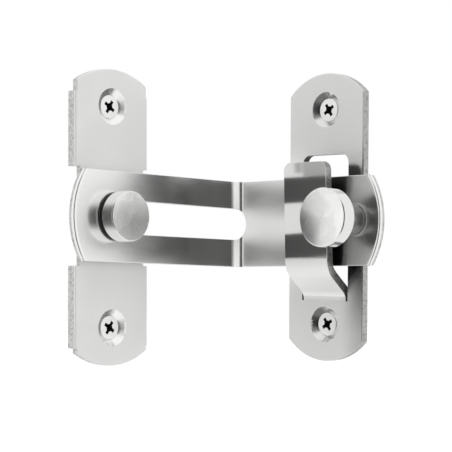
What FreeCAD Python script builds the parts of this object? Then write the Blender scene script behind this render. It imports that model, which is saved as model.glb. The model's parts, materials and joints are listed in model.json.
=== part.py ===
"""Right-angle sliding latch: a slotted, bent hasp on a headed stud, and a keeper with a folded hook.

Units are millimetres, +Z is up. The stud plate is screwed to a wall that lies in the plane Y = 0 and
faces -Y. The keeper plate is screwed to a second wall at right angles to it, which faces -X. The origin
is on the stud's axis, in the plane of the first wall.

Flat pieces are drawn in a plate frame: x to the right, z up and y into the wall, with y = 0 on the front
face. Turned pieces are drawn about that frame's y axis. What belongs to the second wall or to the hasp's
right arm is then turned a quarter about Z, which takes x to -Y and y to +X.
"""
import FreeCAD, Part
import math
import os
from FreeCAD import Vector

# Both base plates
plate_height = 100.0
screw_spacing = 74.6
countersink_mouth_dia = 12.4
plate_edge_chamfer = 0.35

# Stud plate, a sheet with two side flanges that hold it off the wall
stud_plate_width = 31.4
stud_plate_sheet = 2.0
stud_plate_depth = 3.7
stud_plate_end_radius = 28.5
flange_step = 0.6
flange_bend_radius = 0.9
flange_top_end = 41.5
flange_bottom_end = 43.8
notch_height = 33.0
notch_depth = 1.6

# Stud, riveted into the stud plate
stud_neck_dia = 10.0
stud_head_dia = 16.9
stud_head_thickness = 5.1
stud_tenon_dia = 8.0
stud_tail_dia = 10.4
stud_tail_thickness = 1.2
turned_edge_chamfer = 0.3

# Washer between the hasp and the stud's head
washer_dia = 16.0
washer_bore_dia = 10.5
washer_thickness = 1.0
washer_play = 0.15

# Hasp, a strap bent to a right angle with one long slot
hasp_sheet = 2.5
hasp_width = 30.7
hasp_end_radius = 27.0
hasp_tail = 19.6
hasp_corner = 58.5
hasp_arm_reach = 65.2
hasp_bend_radius = 2.5
hasp_gap = 0.52
hasp_droop_deg = 1.24
slot_width = 11.3
slot_past_bend = 1.0
slot_end_play = 0.8
bend_neutral_share = 0.4

# Knob, riveted to the hasp's right arm
knob_from_tip = 10.6
knob_head_dia = 19.8
knob_rise = 0.2
knob_head_thickness = 5.5
knob_height = 17.8
knob_stem_dia = 9.0
knob_collar_dia = 11.5
knob_collar_height = 1.2
knob_tenon_dia = 6.0
knob_tail_flare = 0.8

# Keeper plate with its window and hook
keeper_width = 33.4
keeper_sheet = 2.9
keeper_end_radius = 22.8
keeper_gap = 1.5
hook_collar_gap = 1.595
keeper_rise = 0.55
keeper_lean_deg = 0.9
window_width = 20.6
window_top = 21.6
window_corner_radius = 3.0
hook_width = 19.05
hook_height = 9.95
hook_top = 18.5
hook_corner_radius = 3.0
hook_root = -27.1
hook_ramp_deg = 51.0
hook_lean_deg = 1.9
hook_knee_radius = 8.5
hook_root_radius = 4.3

# Screws, countersunk with a cross recess
screw_head_dia = 8.4
screw_head_sink = 1.5
screw_shank_dia = 4.2
screw_length = 20.0
screw_point_length = 4.0
screw_seat_clearance = 0.05
recess_span = 5.3
recess_wing = 1.3
recess_depth = 2.3
stud_screw_turn_deg = 57.0
keeper_screw_turn_deg = 32.0

# Clearance of a tenon in its hole, and how far a cutter runs past the faces it cuts
tenon_clearance = 0.03
cutter_overrun = 1.0

# Places that follow from the sizes
stud_plate_front = -stud_plate_depth
hasp_back = stud_plate_front - hasp_gap
hasp_front = hasp_back - hasp_sheet
stud_neck_length = hasp_gap + hasp_sheet + washer_thickness + 2.0 * washer_play
keeper_front = hasp_corner + hasp_sheet + keeper_gap
knob_y = hasp_front - hasp_arm_reach + knob_from_tip
keeper_y = knob_y + knob_collar_dia / 2.0 + hook_collar_gap + hook_width / 2.0

ORIGIN = Vector(0, 0, 0)
X_AXIS = Vector(1, 0, 0)
Y_AXIS = Vector(0, 1, 0)
Z_AXIS = Vector(0, 0, 1)


def box(x0, x1, y0, y1, z0, z1):
    """A box between two corners."""
    return Part.makeBox(x1 - x0, y1 - y0, z1 - z0, Vector(x0, y0, z0))


def moved(shape, x=0.0, y=0.0, z=0.0):
    """A copy of the shape, shifted."""
    copy = shape.copy()
    copy.translate(Vector(x, y, z))
    return copy


def turned_copy(shape, axis, degrees):
    """A copy of the shape, turned about an axis through the origin."""
    copy = shape.copy()
    copy.rotate(ORIGIN, axis, degrees)
    return copy


def to_second_wall(shape):
    """A quarter turn about Z: a piece drawn for a wall that faces -Y then suits one that faces -X."""
    return turned_copy(shape, Z_AXIS, -90.0)


def turned(profile):
    """A solid of revolution about the y axis from (radius, y) points."""
    points = [Vector(radius, y, 0) for radius, y in profile]
    face = Part.Face(Part.makePolygon(points + points[:1]))
    return face.revolve(ORIGIN, Y_AXIS, 360.0)


def prism(edges, direction):
    """The closed outline given by its edges, extruded."""
    return Part.Face(Part.Wire(Part.__sortEdges__(edges))).extrude(direction)


def line(a, b):
    return Part.LineSegment(a, b).toShape()


def arc(a, middle, b):
    return Part.Arc(a, middle, b).toShape()


def arc_sagitta(radius, chord):
    """Height of an arc of this radius over its chord."""
    return radius - math.sqrt(radius * radius - chord * chord / 4.0)


def plate_blank(width, height, end_radius, sheet):
    """A flat plate with straight sides and arched ends, its front at y = 0."""
    half = width / 2.0
    top = height / 2.0
    side = top - arc_sagitta(end_radius, width)
    edges = [line(Vector(-half, 0, -side), Vector(-half, 0, side)),
             arc(Vector(-half, 0, side), Vector(0, 0, top), Vector(half, 0, side)),
             line(Vector(half, 0, side), Vector(half, 0, -side)),
             arc(Vector(half, 0, -side), Vector(0, 0, -top), Vector(-half, 0, -side))]
    return prism(edges, Vector(0, sheet, 0))


def front_edges(plate):
    """The edges round a plate's front face."""
    return [edge for edge in plate.Edges if all(abs(vertex.Y) < 1e-6 for vertex in edge.Vertexes)]


def countersunk_hole(sheet):
    """Cutter for one screw hole: a wide mouth down to the head, then the head's own 90 degree seat."""
    seat_radius = screw_head_dia / 2.0 + screw_seat_clearance
    mouth_slope = (countersink_mouth_dia / 2.0 - seat_radius) / screw_head_sink
    over = cutter_overrun
    bottom_radius = max(seat_radius - (sheet - screw_head_sink), screw_shank_dia / 2.0 + tenon_clearance)
    seat_bottom = screw_head_sink + seat_radius - bottom_radius
    return turned([(0, -over),
                   (countersink_mouth_dia / 2.0 + over * mouth_slope, -over),
                   (seat_radius, screw_head_sink),
                   (bottom_radius, seat_bottom),
                   (bottom_radius, max(sheet, seat_bottom) + over),
                   (0, max(sheet, seat_bottom) + over)])


def screw(turn_deg):
    """A countersunk screw seated in a plate frame, its head below the plate's face."""
    head_radius = screw_head_dia / 2.0
    shank_radius = screw_shank_dia / 2.0
    top = screw_head_sink
    cone_end = top + head_radius - shank_radius
    body = turned([(0, top),
                   (head_radius, top),
                   (shank_radius, cone_end),
                   (shank_radius, top + screw_length - screw_point_length),
                   (0, top + screw_length)])
    recess = cross_recess()
    recess = turned_copy(recess, Y_AXIS, -turn_deg)
    return body.cut(moved(recess, y=top))


def cross_recess():
    """Cutter for a cross recess: two crossed wings that narrow towards the bottom, and a core."""
    wings = []
    for quarter in (0.0, 90.0):
        top_wire = wing_outline(recess_span, recess_wing, 0.0)
        bottom_wire = wing_outline(0.45 * recess_span, 0.6 * recess_wing, recess_depth)
        wing = Part.makeLoft([top_wire, bottom_wire], True, True)
        wings.append(turned_copy(wing, Y_AXIS, quarter))
    core = turned([(0, 0), (0.3 * recess_span, 0), (0.16 * recess_span, recess_depth), (0, recess_depth)])
    return wings[0].fuse([wings[1], core])


def wing_outline(span, width, depth):
    """A rectangle across the screw's axis at one depth."""
    corners = [Vector(-span / 2, depth, -width / 2), Vector(span / 2, depth, -width / 2),
               Vector(span / 2, depth, width / 2), Vector(-span / 2, depth, width / 2)]
    return Part.makePolygon(corners + corners[:1])


def screw_heights():
    return (screw_spacing / 2.0, -screw_spacing / 2.0)


def screw_pair(turn_deg):
    return [moved(screw(turn_deg), z=height) for height in screw_heights()]


def flange(side, low, high):
    """One side flange of the stud plate between two heights; side is -1 for left and 1 for right."""
    outer = stud_plate_width / 2.0 + flange_step
    bend = flange_bend_radius
    back = stud_plate_depth
    inner = outer - stud_plate_sheet
    reach = inner - bend
    mid = bend * (1.0 - math.sqrt(0.5))
    points = [(reach, 0.0), (outer - bend, 0.0), (outer - mid, mid), (outer, bend), (outer, back),
              (inner, back), (inner, stud_plate_sheet), (reach, stud_plate_sheet)]
    p = [Vector(side * x, y, low) for x, y in points]
    edges = [line(p[0], p[1]), arc(p[1], p[2], p[3]), line(p[3], p[4]), line(p[4], p[5]),
             line(p[5], p[6]), line(p[6], p[7]), line(p[7], p[0])]
    return prism(edges, Vector(0, 0, high - low))


def stud_plate():
    """The sheet with arched ends, two countersunk holes, the stud's hole and notched side flanges."""
    plate = plate_blank(stud_plate_width, plate_height, stud_plate_end_radius, stud_plate_sheet)
    plate = plate.makeChamfer(plate_edge_chamfer, front_edges(plate))
    half_notch = notch_height / 2.0
    half_width = stud_plate_width / 2.0
    waist = half_width - notch_depth
    over = cutter_overrun
    notch = box(waist, half_width + over, -over, stud_plate_sheet + over, -half_notch, half_notch)
    plate = plate.cut([notch, turned_copy(notch, Z_AXIS, 180.0).translated(Vector(0, stud_plate_sheet, 0))])
    flanges = []
    for side in (-1, 1):
        flanges.append(flange(side, half_notch, flange_top_end))
        flanges.append(flange(side, -flange_bottom_end, -half_notch))
    plate = plate.fuse(flanges).removeSplitter()
    holes = [moved(countersunk_hole(stud_plate_sheet), z=height) for height in screw_heights()]
    tenon_radius = stud_tenon_dia / 2.0 + tenon_clearance
    holes.append(turned([(0, -over), (tenon_radius, -over), (tenon_radius, stud_plate_sheet + over),
                         (0, stud_plate_sheet + over)]))
    plate = plate.cut(holes)
    return moved(plate, y=stud_plate_front)


def stud():
    """The headed stud: head, neck in the hasp's slot, tenon through the sheet and a riveted tail."""
    head = stud_head_dia / 2.0
    neck = stud_neck_dia / 2.0
    tenon = stud_tenon_dia / 2.0
    tail = stud_tail_dia / 2.0
    cut = turned_edge_chamfer
    front = -stud_neck_length - stud_head_thickness
    tail_end = stud_plate_sheet + stud_tail_thickness
    body = turned([(0, front), (head - cut, front), (head, front + cut),
                   (head, -stud_neck_length - cut / 3), (head - cut / 3, -stud_neck_length),
                   (neck, -stud_neck_length), (neck, 0), (tenon, 0), (tenon, stud_plate_sheet),
                   (tail, stud_plate_sheet), (tail, tail_end - cut), (tail - cut, tail_end), (0, tail_end)])
    return moved(body, y=stud_plate_front)


def stud_washer():
    """The plain washer that keeps the hasp off the head."""
    outer = washer_dia / 2.0
    bore = washer_bore_dia / 2.0
    back = hasp_front - washer_play
    front = back - washer_thickness
    return turned([(bore, front), (outer, front), (outer, back), (bore, back)])


def hasp_strap():
    """The bent strap with arched ends, before its slot and hole are cut."""
    t = hasp_sheet
    r = hasp_bend_radius
    corner = hasp_corner
    half = hasp_width / 2.0
    tip = hasp_front - hasp_arm_reach
    centre = Vector(corner - r, hasp_front - r, -half)
    diagonal = Vector(math.sqrt(0.5), math.sqrt(0.5), 0)
    p1 = Vector(-hasp_tail, hasp_front, -half)
    p2 = Vector(corner - r, hasp_front, -half)
    p3 = Vector(corner, hasp_front - r, -half)
    p4 = Vector(corner, tip, -half)
    p5 = Vector(corner + t, tip, -half)
    p6 = Vector(corner + t, hasp_front - r, -half)
    p7 = Vector(corner - r, hasp_back, -half)
    p8 = Vector(-hasp_tail, hasp_back, -half)
    edges = [line(p1, p2), arc(p2, centre + diagonal * r, p3), line(p3, p4), line(p4, p5),
             line(p5, p6), arc(p6, centre + diagonal * (r + t), p7), line(p7, p8), line(p8, p1)]
    strap = prism(edges, Vector(0, 0, hasp_width))
    sagitta = arc_sagitta(hasp_end_radius, hasp_width)
    near = -hasp_tail - cutter_overrun
    far = corner + t + cutter_overrun
    back = hasp_back + cutter_overrun
    left_side = -hasp_tail + sagitta
    left = [arc(Vector(left_side, back, half), Vector(-hasp_tail, back, 0), Vector(left_side, back, -half)),
            line(Vector(left_side, back, -half), Vector(far, back, -half)),
            line(Vector(far, back, -half), Vector(far, back, half)),
            line(Vector(far, back, half), Vector(left_side, back, half))]
    tip_side = tip + sagitta
    right = [arc(Vector(near, tip_side, half), Vector(near, tip, 0), Vector(near, tip_side, -half)),
             line(Vector(near, tip_side, -half), Vector(near, back, -half)),
             line(Vector(near, back, -half), Vector(near, back, half)),
             line(Vector(near, back, half), Vector(near, tip_side, half))]
    strap = strap.common(prism(left, Vector(0, tip - back - cutter_overrun, 0)))
    return strap.common(prism(right, Vector(far - near, 0, 0)))


def slot_cutter():
    """Cutter for the slot. Its right end is a half circle punched in the flat and then bent with the
    strap, so its walls stay square to the sheet all the way round the bend."""
    radius = slot_width / 2.0
    over = cutter_overrun / 2.0
    neutral_radius = hasp_bend_radius + bend_neutral_share * hasp_sheet
    bend_length = neutral_radius * math.pi / 2.0
    lead = radius - bend_length - slot_past_bend
    bend_x = hasp_corner - hasp_bend_radius
    bend_y = hasp_front - hasp_bend_radius
    y0 = hasp_front - over
    y1 = hasp_back + over

    def half_width(distance):
        """Half of the slot's width at a distance past the centre of its right end."""
        if distance <= 0:
            return radius
        return math.sqrt(max(radius * radius - distance * distance, 0.0))

    straight_end = bend_x - max(lead, 0.0)
    left_end = Part.makeCylinder(radius, y1 - y0, Vector(-slot_end_play, y0, 0), Y_AXIS)
    parts = [left_end, box(-slot_end_play, straight_end, y0, y1, -radius, radius)]
    if lead > 0:
        disc = Part.makeCylinder(radius, y1 - y0, Vector(straight_end, y0, 0), Y_AXIS)
        parts.append(disc.common(box(straight_end, bend_x, y0, y1, -radius, radius)))

    steps = 12
    sections = []
    for step in range(steps + 1):
        angle = math.pi / 2.0 * step / steps
        half = half_width(lead + neutral_radius * angle)
        direction = Vector(math.sin(angle), math.cos(angle), 0)
        inner = Vector(bend_x, bend_y, 0) + direction * (hasp_bend_radius - over)
        outer = Vector(bend_x, bend_y, 0) + direction * (hasp_bend_radius + hasp_sheet + over)
        corners = [inner - Z_AXIS * half, outer - Z_AXIS * half, outer + Z_AXIS * half,
                   inner + Z_AXIS * half]
        sections.append(Part.makePolygon(corners + corners[:1]))
    parts.append(Part.makeLoft(sections, True, True))

    past_centre = lead + bend_length
    x0 = hasp_corner - over
    end_disc = Part.makeCylinder(radius, hasp_sheet + 2 * over, Vector(x0, bend_y + past_centre, 0), X_AXIS)
    end_y = bend_y - slot_past_bend - over
    end_box = box(x0, x0 + hasp_sheet + 2 * over, end_y, bend_y, -radius, radius)
    parts.append(end_disc.common(end_box))
    return parts[0].fuse(parts[1:])


def hasp():
    """The hasp: the bent strap with its slot and the knob's riveting hole."""
    strap = hasp_strap()
    tenon = knob_tenon_dia / 2.0 + tenon_clearance
    flare = tenon + knob_tail_flare
    over = cutter_overrun
    hole = turned([(0, -over), (tenon, -over), (tenon, hasp_sheet - knob_tail_flare), (flare, hasp_sheet),
                   (flare, hasp_sheet + over), (0, hasp_sheet + over)])
    hole = moved(to_second_wall(hole), x=hasp_corner, y=knob_y, z=knob_rise)
    strap = strap.cut([slot_cutter(), hole])
    return turned_copy(strap, Y_AXIS, hasp_droop_deg)


def knob():
    """The turned knob: head, stem, a low collar on the strap and a tenon riveted flush behind it."""
    head = knob_head_dia / 2.0
    stem = knob_stem_dia / 2.0
    collar = knob_collar_dia / 2.0
    tenon = knob_tenon_dia / 2.0
    cut = turned_edge_chamfer
    head_back = -knob_height + knob_head_thickness
    body = turned([(0, -knob_height), (head - cut, -knob_height), (head, -knob_height + cut),
                   (head, head_back - cut), (head - cut, head_back), (stem, head_back),
                   (stem, -knob_collar_height), (collar - cut / 2, -knob_collar_height),
                   (collar, -knob_collar_height + cut / 2), (collar, 0), (tenon, 0),
                   (tenon, hasp_sheet - knob_tail_flare), (tenon + knob_tail_flare, hasp_sheet),
                   (0, hasp_sheet)])
    body = moved(to_second_wall(body), x=hasp_corner, y=knob_y, z=knob_rise)
    return turned_copy(body, Y_AXIS, hasp_droop_deg)


def keeper_window():
    """Cutter for the window, with rounded upper corners, down to where the hook leaves the sheet."""
    half = window_width / 2.0
    r = window_corner_radius
    bottom = hook_root - hook_root_radius * math.tan(math.radians(hook_ramp_deg / 2.0))
    mid = r * (1.0 - math.sqrt(0.5))
    y = -cutter_overrun
    edges = [line(Vector(-half, y, bottom), Vector(-half, y, window_top - r)),
             arc(Vector(-half, y, window_top - r), Vector(-half + mid, y, window_top - mid),
                 Vector(-half + r, y, window_top)),
             line(Vector(-half + r, y, window_top), Vector(half - r, y, window_top)),
             arc(Vector(half - r, y, window_top), Vector(half - mid, y, window_top - mid),
                 Vector(half, y, window_top - r)),
             line(Vector(half, y, window_top - r), Vector(half, y, bottom)),
             line(Vector(half, y, bottom), Vector(-half, y, bottom))]
    return prism(edges, Vector(0, keeper_sheet + 2.0 * cutter_overrun, 0))


def keeper_hook():
    """The tab left in the window, folded out as a ramp and then up as a strap that leans out a little."""
    t = keeper_sheet
    a = math.radians(hook_ramp_deg)
    lean = math.radians(hook_lean_deg)
    knee = Vector(0, -hook_height, hook_root + hook_height / math.tan(a))
    ramp = Vector(0, -math.sin(a), math.cos(a))
    strap = Vector(0, -math.sin(lean), math.cos(lean))
    strap_inward = Vector(0, math.cos(lean), math.sin(lean))
    root_start = hook_root - hook_root_radius * math.tan(a / 2.0)
    root_centre = Vector(0, -hook_root_radius, root_start)
    knee_tangent = hook_knee_radius * math.tan((a - lean) / 2.0)
    knee_centre = knee + strap * knee_tangent + strap_inward * hook_knee_radius

    def on_root(radius, angle):
        return root_centre + Vector(0, math.cos(angle), math.sin(angle)) * radius

    def on_knee(radius, angle):
        return knee_centre + Vector(0, -math.cos(angle), -math.sin(angle)) * radius

    f = hook_root_radius
    b = hook_root_radius + t
    kf = hook_knee_radius
    kb = hook_knee_radius - t
    middle = (a + lean) / 2.0
    anchor = root_start - 1.0
    front_top = knee + strap * ((hook_top - knee.z) / strap.z)
    back_top = front_top + strap_inward * t
    edges = [line(Vector(0, 0, anchor), on_root(f, 0)), arc(on_root(f, 0), on_root(f, a / 2), on_root(f, a)),
             line(on_root(f, a), on_knee(kf, a)), arc(on_knee(kf, a), on_knee(kf, middle), on_knee(kf, lean)),
             line(on_knee(kf, lean), front_top), line(front_top, back_top),
             line(back_top, on_knee(kb, lean)),
             arc(on_knee(kb, lean), on_knee(kb, middle), on_knee(kb, a)), line(on_knee(kb, a), on_root(b, a)),
             arc(on_root(b, a), on_root(b, a / 2), on_root(b, 0)),
             line(on_root(b, 0), Vector(0, t, anchor)), line(Vector(0, t, anchor), Vector(0, 0, anchor))]
    hook = moved(prism(edges, Vector(hook_width, 0, 0)), x=-hook_width / 2.0)
    corners = [edge for edge in hook.Edges
               if edge.BoundBox.ZMin > hook_top - 0.5 and edge.BoundBox.YLength > 0.5 * t]
    return hook.makeFillet(hook_corner_radius, corners)


def place_keeper(shape):
    """From the plate frame to the second wall, with the keeper's own rise and lean."""
    leaned = turned_copy(shape, Y_AXIS, keeper_lean_deg)
    return moved(to_second_wall(leaned), x=keeper_front, y=keeper_y, z=keeper_rise)


def keeper_plate():
    """The keeper: a plate with two countersunk holes and a hook folded out of its own window."""
    plate = plate_blank(keeper_width, plate_height, keeper_end_radius, keeper_sheet)
    plate = plate.makeChamfer(plate_edge_chamfer, front_edges(plate))
    holes = [moved(countersunk_hole(keeper_sheet), z=height) for height in screw_heights()]
    plate = plate.cut(holes + [keeper_window()])
    plate = plate.fuse(keeper_hook()).removeSplitter()
    return place_keeper(plate)


def group(shapes):
    """Several separate solids as one shape."""
    return Part.makeCompound(shapes)


def build():
    """Every node's shape by name."""
    stud_screws = [moved(one, y=stud_plate_front) for one in screw_pair(stud_screw_turn_deg)]
    keeper_screws = [place_keeper(one) for one in screw_pair(keeper_screw_turn_deg)]
    return {
        "stud_plate": stud_plate(),
        "stud": stud(),
        "stud_washer": stud_washer(),
        "hasp": hasp(),
        "knob": knob(),
        "keeper_plate": keeper_plate(),
        "stud_plate_screws": group(stud_screws),
        "keeper_plate_screws": group(keeper_screws),
    }


def main():
    os.makedirs("parts", exist_ok=True)
    for name, shape in build().items():
        solids = shape.Solids
        if not solids or not all(solid.isValid() for solid in solids):
            raise RuntimeError(name + " isn't a valid solid")
        shape.exportStep(os.path.join("parts", name + ".step"))
        bounds = shape.BoundBox
        print("%-20s solids %d  volume %9.1f  x %7.2f %7.2f  y %7.2f %7.2f  z %7.2f %7.2f" % (
            name, len(solids), shape.Volume, bounds.XMin, bounds.XMax, bounds.YMin, bounds.YMax,
            bounds.ZMin, bounds.ZMax))


main()
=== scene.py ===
import json
import math

import bmesh
import bpy
from bpy.props import FloatProperty, FloatVectorProperty, IntProperty, PointerProperty
from bpy.types import Operator, Panel, PropertyGroup
from mathutils import Matrix, Vector


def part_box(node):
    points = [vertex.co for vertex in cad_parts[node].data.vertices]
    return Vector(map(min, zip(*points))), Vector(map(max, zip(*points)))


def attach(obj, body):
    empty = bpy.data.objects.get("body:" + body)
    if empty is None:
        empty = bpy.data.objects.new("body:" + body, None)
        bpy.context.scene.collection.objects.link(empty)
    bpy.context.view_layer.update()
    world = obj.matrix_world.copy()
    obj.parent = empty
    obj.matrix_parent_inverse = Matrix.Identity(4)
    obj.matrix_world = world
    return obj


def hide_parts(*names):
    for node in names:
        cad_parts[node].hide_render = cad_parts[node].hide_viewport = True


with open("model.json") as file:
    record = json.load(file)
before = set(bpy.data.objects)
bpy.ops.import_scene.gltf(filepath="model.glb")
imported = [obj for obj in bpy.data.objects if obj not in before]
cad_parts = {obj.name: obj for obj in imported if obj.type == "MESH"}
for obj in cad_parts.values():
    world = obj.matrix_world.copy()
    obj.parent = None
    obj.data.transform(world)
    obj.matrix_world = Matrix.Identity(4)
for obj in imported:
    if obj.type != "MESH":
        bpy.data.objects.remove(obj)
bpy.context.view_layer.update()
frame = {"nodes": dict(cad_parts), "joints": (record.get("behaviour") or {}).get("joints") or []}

bl_info = {
    "name": "Right-angle sliding latch",
    "version": (1, 0, 0),
    "blender": (4, 5, 0),
    "location": "View3D > Sidebar > Latch",
    "description": "Dresses a stainless sliding latch: plates, hasp, stud, knob, washer and screws",
    "category": "Object",
}

MM = 0.001
ORIGIN = Vector((0, 0, 0))
X_AXIS = Vector((1, 0, 0))
Y_AXIS = Vector((0, 1, 0))
Z_AXIS = Vector((0, 0, 1))

# Read off the CAD model: the screws' heads and their height over the plates' middle, the keeper's sheet,
# how far its window lies inside its sides, and how high the window reaches.
HEAD_RADIUS = 4.2 * MM
SCREW_RISE = 37.3 * MM
COUNTERSINK_REACH = 6.5 * MM
KEEPER_SHEET = 2.9 * MM
WINDOW_INSET = 4 * MM
WINDOW_RISE = 31 * MM

# The dark colour painted onto bright steel: a painted reflection of the dark gap in the studio and of the
# back of the hasp, painted shade towards the hasp's bend, and the random mottle of the turned faces.
PAINTED_REFLECTION = "#202020"

# The sideways lean of the hook's mirror image, 3.8 degrees.
HOOK_TWIST = 0.066

# The way across the hasp's bend, and where the bend ends on it and the flat of the right arm begins.
ACROSS_BEND = (0.69, -0.72, 0)
ARM_START = 46.4 * MM
ARM_STOP = 47.2 * MM

# How much of a face's normal lies along an axis: less than WALL for a wall along it, less than CUT_EDGE for
# a cut edge, less than ASIDE for a face that looks aside, more than FLAT for a sheet square to it, and more
# than TURNED_FLAT for the flat face of a turned piece.
WALL = 0.1
CUT_EDGE = 0.2
ASIDE = 0.3
FLAT = 0.95
TURNED_FLAT = 0.9

# The keeper's hook is what stands further than this before the sheet's front, for its edges and its faces.
HOOK_EDGES = 0.1 * MM
HOOK_FACES = 0.3 * MM

# The hasp's arched ends: how far their cut edges and their front edges reach in.
LEFT_ARCH = 3.5 * MM
RIGHT_ARCH = 5 * MM
FRONT_ARCH = 5.5 * MM

# Corners that turn less than this are facets of a round. Turned pieces have this many facets round them.
SHARP_CORNER = math.radians(28)
TURNED_STEPS = 128

# The photograph is 452 pixels wide and high. The camera was fitted to the latch's measured corners.
PHOTO_WIDTH = 452.0
CAMERA_FOCAL_PIXELS = 1554.4
CAMERA_AZIMUTH = math.radians(-45.986)
CAMERA_ELEVATION = math.radians(-1.955)
CAMERA_ROLL = math.radians(-0.121)
CAMERA_PLACE = Vector((-349.69, -394.75, -21.01)) * MM

# The level directions from the latch towards the camera and to the camera's right.
CAMERA_BACK = Vector((math.sin(CAMERA_AZIMUTH), -math.cos(CAMERA_AZIMUTH), 0))
CAMERA_RIGHT = Vector((math.cos(CAMERA_AZIMUTH), math.sin(CAMERA_AZIMUTH), 0))


def linear(hex_colour):
    """An sRGB hex colour as linear red, green, blue and alpha."""
    channels = [int(hex_colour[i:i + 2], 16) / 255.0 for i in (1, 3, 5)]
    return tuple([c / 12.92 if c <= 0.04045 else ((c + 0.055) / 1.055) ** 2.4 for c in channels] + [1.0])


def size_property(name, description, millimetres):
    """A length that a user may change."""
    return FloatProperty(name=name, description=description, default=millimetres * MM, min=0.0,
                         unit="LENGTH", precision=5)


def angle_property(name, description, degrees):
    """An angle that a user may change."""
    return FloatProperty(name=name, description=description, default=math.radians(degrees),
                         unit="ROTATION")


def light_property(name, description, default):
    """A strength of light that a user may change."""
    return FloatProperty(name=name, description=description, default=default, min=0.0)


def share_property(name, description, default):
    """A share from 0 to 1 that a user may change."""
    return FloatProperty(name=name, description=description, default=default, min=0.0, max=1.0)


def colour_property(name, description, hex_colour):
    """A colour that a user may change."""
    return FloatVectorProperty(name=name, description=description, subtype="COLOR", size=4, min=0.0,
                               max=1.0, default=linear(hex_colour))


class LATCH_PG_finish(PropertyGroup):
    """Colours and sheen of the latch's metals and its washer."""
    sheet: colour_property("Sheet steel", "Satin stainless sheet of the stud plate", "#F6F6F5")
    keeper_sheet: colour_property("Keeper steel", "Satin stainless sheet of the keeper", "#E0E0DF")
    hook: colour_property("Hook steel", "Polished stainless of the keeper's hook", "#DADAD9")
    edge: colour_property("Sheared edges", "Cut edges of sheet and strap", "#D0D0CE")
    # The keeper's cut edges are painted darker than the stud plate's: painted shade.
    keeper_edge_shaded: colour_property("Keeper edges", "Cut edges of the thicker keeper sheet", "#B6B6B4")
    # The inside of the hook and the walls of its window are painted near black: painted shade on raw steel.
    raw_and_shaded: colour_property("Raw steel", "Mill finish inside the hook and its window", "#363635")
    strap: colour_property("Strap steel", "Stainless strap of the hasp", "#F4F4F3")
    turned: colour_property("Turned steel", "Stainless bar of the stud and the knob", "#FBFBFA")
    side: colour_property("Turned sides", "Rims of the stud and the knob", "#E6E6E5")
    # The knob's stem and collar are left unpolished, and painted darker than the turned face: painted shade
    # under the knob's head.
    stem: colour_property("Knob stem", "Unpolished stem and collar of the knob", "#ACACAA")
    screw: colour_property("Screw steel", "Stainless wire of the screws", "#F6F6F5")
    # The screws' recesses are painted near black: painted shade in the recesses.
    recess: colour_property("Screw recess", "Drawing grease left in the screws' recesses", "#161616")
    nylon: colour_property("Washer nylon", "Black nylon of the washer", "#070707")
    satin: share_property("Stud plate roughness", "Roughness of the stud plate", 0.68)
    keeper: share_property("Keeper plate roughness", "Roughness of the keeper plate", 0.5)
    rubbed: share_property("Rubbed roughness", "Roughness of the keeper plate round its window", 0.14)
    polish: share_property("Hook roughness", "Roughness of the hook's polished faces", 0.08)
    foot: share_property("Hook foot roughness", "Roughness of the ramp at the hook's foot", 0.6)
    belt: share_property("Strap roughness", "Roughness of the hasp", 0.22)
    worn: share_property("Worn roughness", "Roughness of the hasp's right arm beside the bend", 0.52)
    cone: share_property("Countersink roughness", "Roughness of the countersinks", 0.2)
    mill: share_property("Mill roughness", "Roughness of the raw steel inside the hook", 0.35)
    rim: share_property("Turned side roughness", "Roughness of the stud's and the knob's rims", 0.13)
    dull: share_property("Dull roughness", "Roughness of the knob's stem and the screws' rims", 0.3)


class LATCH_PG_edges(PropertyGroup):
    """Rounding of the edges that the tumbler leaves."""
    sheet: size_property("Sheet edges", "Rounding of the plates' cut edges", 0.14)
    hook: size_property("Hook edges", "Rounding of the hook's edges", 0.9)
    strap: size_property("Strap edges", "Rounding of the hasp's long edges", 0.25)
    strap_end: size_property("Strap end edges", "Rounding of the edges at the hasp's ends", 1.2)
    turned: size_property("Turned edges", "Rounding of the stud's and the knob's corners", 0.12)
    segments: IntProperty(name="Segments", description="Facets across a rounded edge", default=3, min=1,
                          max=6)


class LATCH_PG_stud(PropertyGroup):
    """Sizes of the headed stud, from its head to its riveted tail."""
    head: size_property("Head thickness", "Thickness of the head", 5.1)
    neck_radius: size_property("Neck radius", "Radius of the neck in the slot", 5.0)
    neck: size_property("Neck length", "From the head to the plate", 4.32)
    tenon_radius: size_property("Tenon radius", "Radius of the tenon in the plate", 4.0)
    tenon: size_property("Tenon length", "Thickness of the plate's sheet", 2.0)
    tail_radius: size_property("Tail radius", "Radius of the riveted tail", 5.2)
    tail: size_property("Tail thickness", "Thickness of the riveted tail", 1.2)
    chamfer: size_property("Chamfer", "Chamfer round the head", 0.3)


class LATCH_PG_knob(PropertyGroup):
    """Sizes of the turned knob, from its face to its riveted tail."""
    arm: size_property("Arm", "From the stud's axis to the face of the hasp's right arm", 58.5)
    rise: size_property("Rise", "Height of the knob's axis over the middle of the arm", 0.2)
    height: size_property("Height", "From the arm to the knob's face", 17.8)
    head: size_property("Head thickness", "Thickness of the head", 5.5)
    stem_radius: size_property("Stem radius", "Radius of the stem", 4.5)
    stem_fillet: size_property("Stem fillet", "Round corner between stem and head", 0.6)
    collar_radius: size_property("Collar radius", "Radius of the collar on the arm", 5.75)
    collar: size_property("Collar height", "Height of the collar", 1.2)
    tenon_radius: size_property("Tenon radius", "Radius of the tenon in the arm", 3.0)
    sheet: size_property("Tenon length", "Thickness of the arm", 2.5)
    flare: size_property("Flare", "Flare of the riveted tail", 0.8)
    chamfer: size_property("Chamfer", "Chamfer round the head", 0.4)
    dimple_radius: size_property("Centre dimple", "Radius of the lathe's centre mark", 0.6)
    dimple_depth: size_property("Dimple depth", "Depth of the lathe's centre mark", 0.15)


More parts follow.
